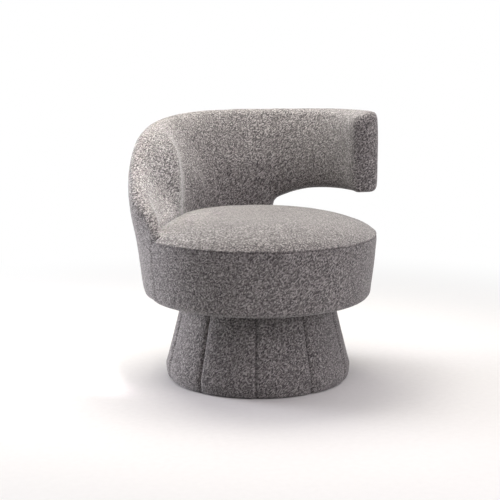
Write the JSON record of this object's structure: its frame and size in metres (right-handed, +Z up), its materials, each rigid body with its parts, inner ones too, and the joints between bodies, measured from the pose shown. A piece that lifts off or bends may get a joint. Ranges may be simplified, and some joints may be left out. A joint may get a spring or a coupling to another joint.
{
  "type": "cuddle chair",
  "caption": "Round swivel lounge chair: crowned drum seat, padded wrap as solid arm, back and floating arm, on a flared upholstered cone base.",
  "frame": {"origin": "on the floor under the swivel axis, at the middle of the floor pad's lower face", "axes": "+Z up along the swivel axis, -Y towards the front of the seat, +X towards the floating arm"},
  "size_m": [0.7249, 0.698, 0.7427],
  "materials": {
    "cloth": "nubby chenille upholstery cloth, mixed light and dark grey yarns",
    "foam": "open-cell upholstery foam",
    "plywood": "raw birch plywood",
    "steel": "zinc plated",
    "felt": "dense felt",
    "dust_cloth": "thin non-woven cloth",
    "padding": "pressed fibre felt"
  },
  "bodies": {
    "base": {"floor_pad": "felt", "base_bottom_board": "plywood", "base_top_board": "plywood", "base_rib_1": "plywood", "base_rib_2": "plywood", "base_rib_3": "plywood", "base_rib_4": "plywood", "base_rib_5": "plywood", "base_foam": "foam", "base_cover": "cloth", "lower_plate_screw_1": "steel", "lower_plate_screw_2": "steel", "lower_plate_screw_3": "steel", "lower_plate_screw_4": "steel", "swivel_lower_plate": "steel", "swivel_centre_pin": "steel"},
    "ball_cage": {"swivel_ball_cage": "steel"},
    "seat": {"upper_plate_screw_1": "steel", "upper_plate_screw_2": "steel", "upper_plate_screw_3": "steel", "upper_plate_screw_4": "steel", "swivel_upper_plate": "steel", "deck_board": "plywood", "hoop_ring": "plywood", "hoop_post_1": "plywood", "hoop_post_2": "plywood", "hoop_post_3": "plywood", "hoop_post_4": "plywood", "hoop_post_5": "plywood", "hoop_post_6": "plywood", "seat_spring_1": "steel", "seat_spring_2": "steel", "seat_spring_3": "steel", "seat_spring_4": "steel", "insulator_pad": "padding", "seat_cover_top": "cloth", "seat_foam": "foam", "seat_cover_side": "cloth", "front_apron": "plywood", "apron_foam": "foam", "seat_dust_cover": "dust_cloth", "back_bottom_rail": "plywood", "back_top_rail": "plywood", "back_post_1": "plywood", "back_post_2": "plywood", "back_post_3": "plywood", "wing_panel": "plywood", "arm_lower_rail": "plywood", "arm_end_post": "plywood", "back_bolt_1": "steel", "back_bolt_2": "steel", "back_bolt_3": "steel", "back_bolt_4": "steel", "arm_foam": "foam", "back_foam": "foam", "wing_foam": "foam", "wrap_cover": "cloth"}
  },
  "joints": [
    {"name": "seat_swivel", "type": "hinge", "parent": "base", "child": "seat", "pos_m": [0, 0, 0.2268], "axis": [0, 0, 1], "continuous": true},
    {"name": "cage_turn", "type": "hinge", "parent": "base", "child": "ball_cage", "pos_m": [0, 0, 0.2268], "axis": [0, 0, 1], "continuous": true}
  ],
  "couplings": [
    {"joint": "cage_turn", "follows": "seat_swivel", "ratio": 0.5}
  ]
}
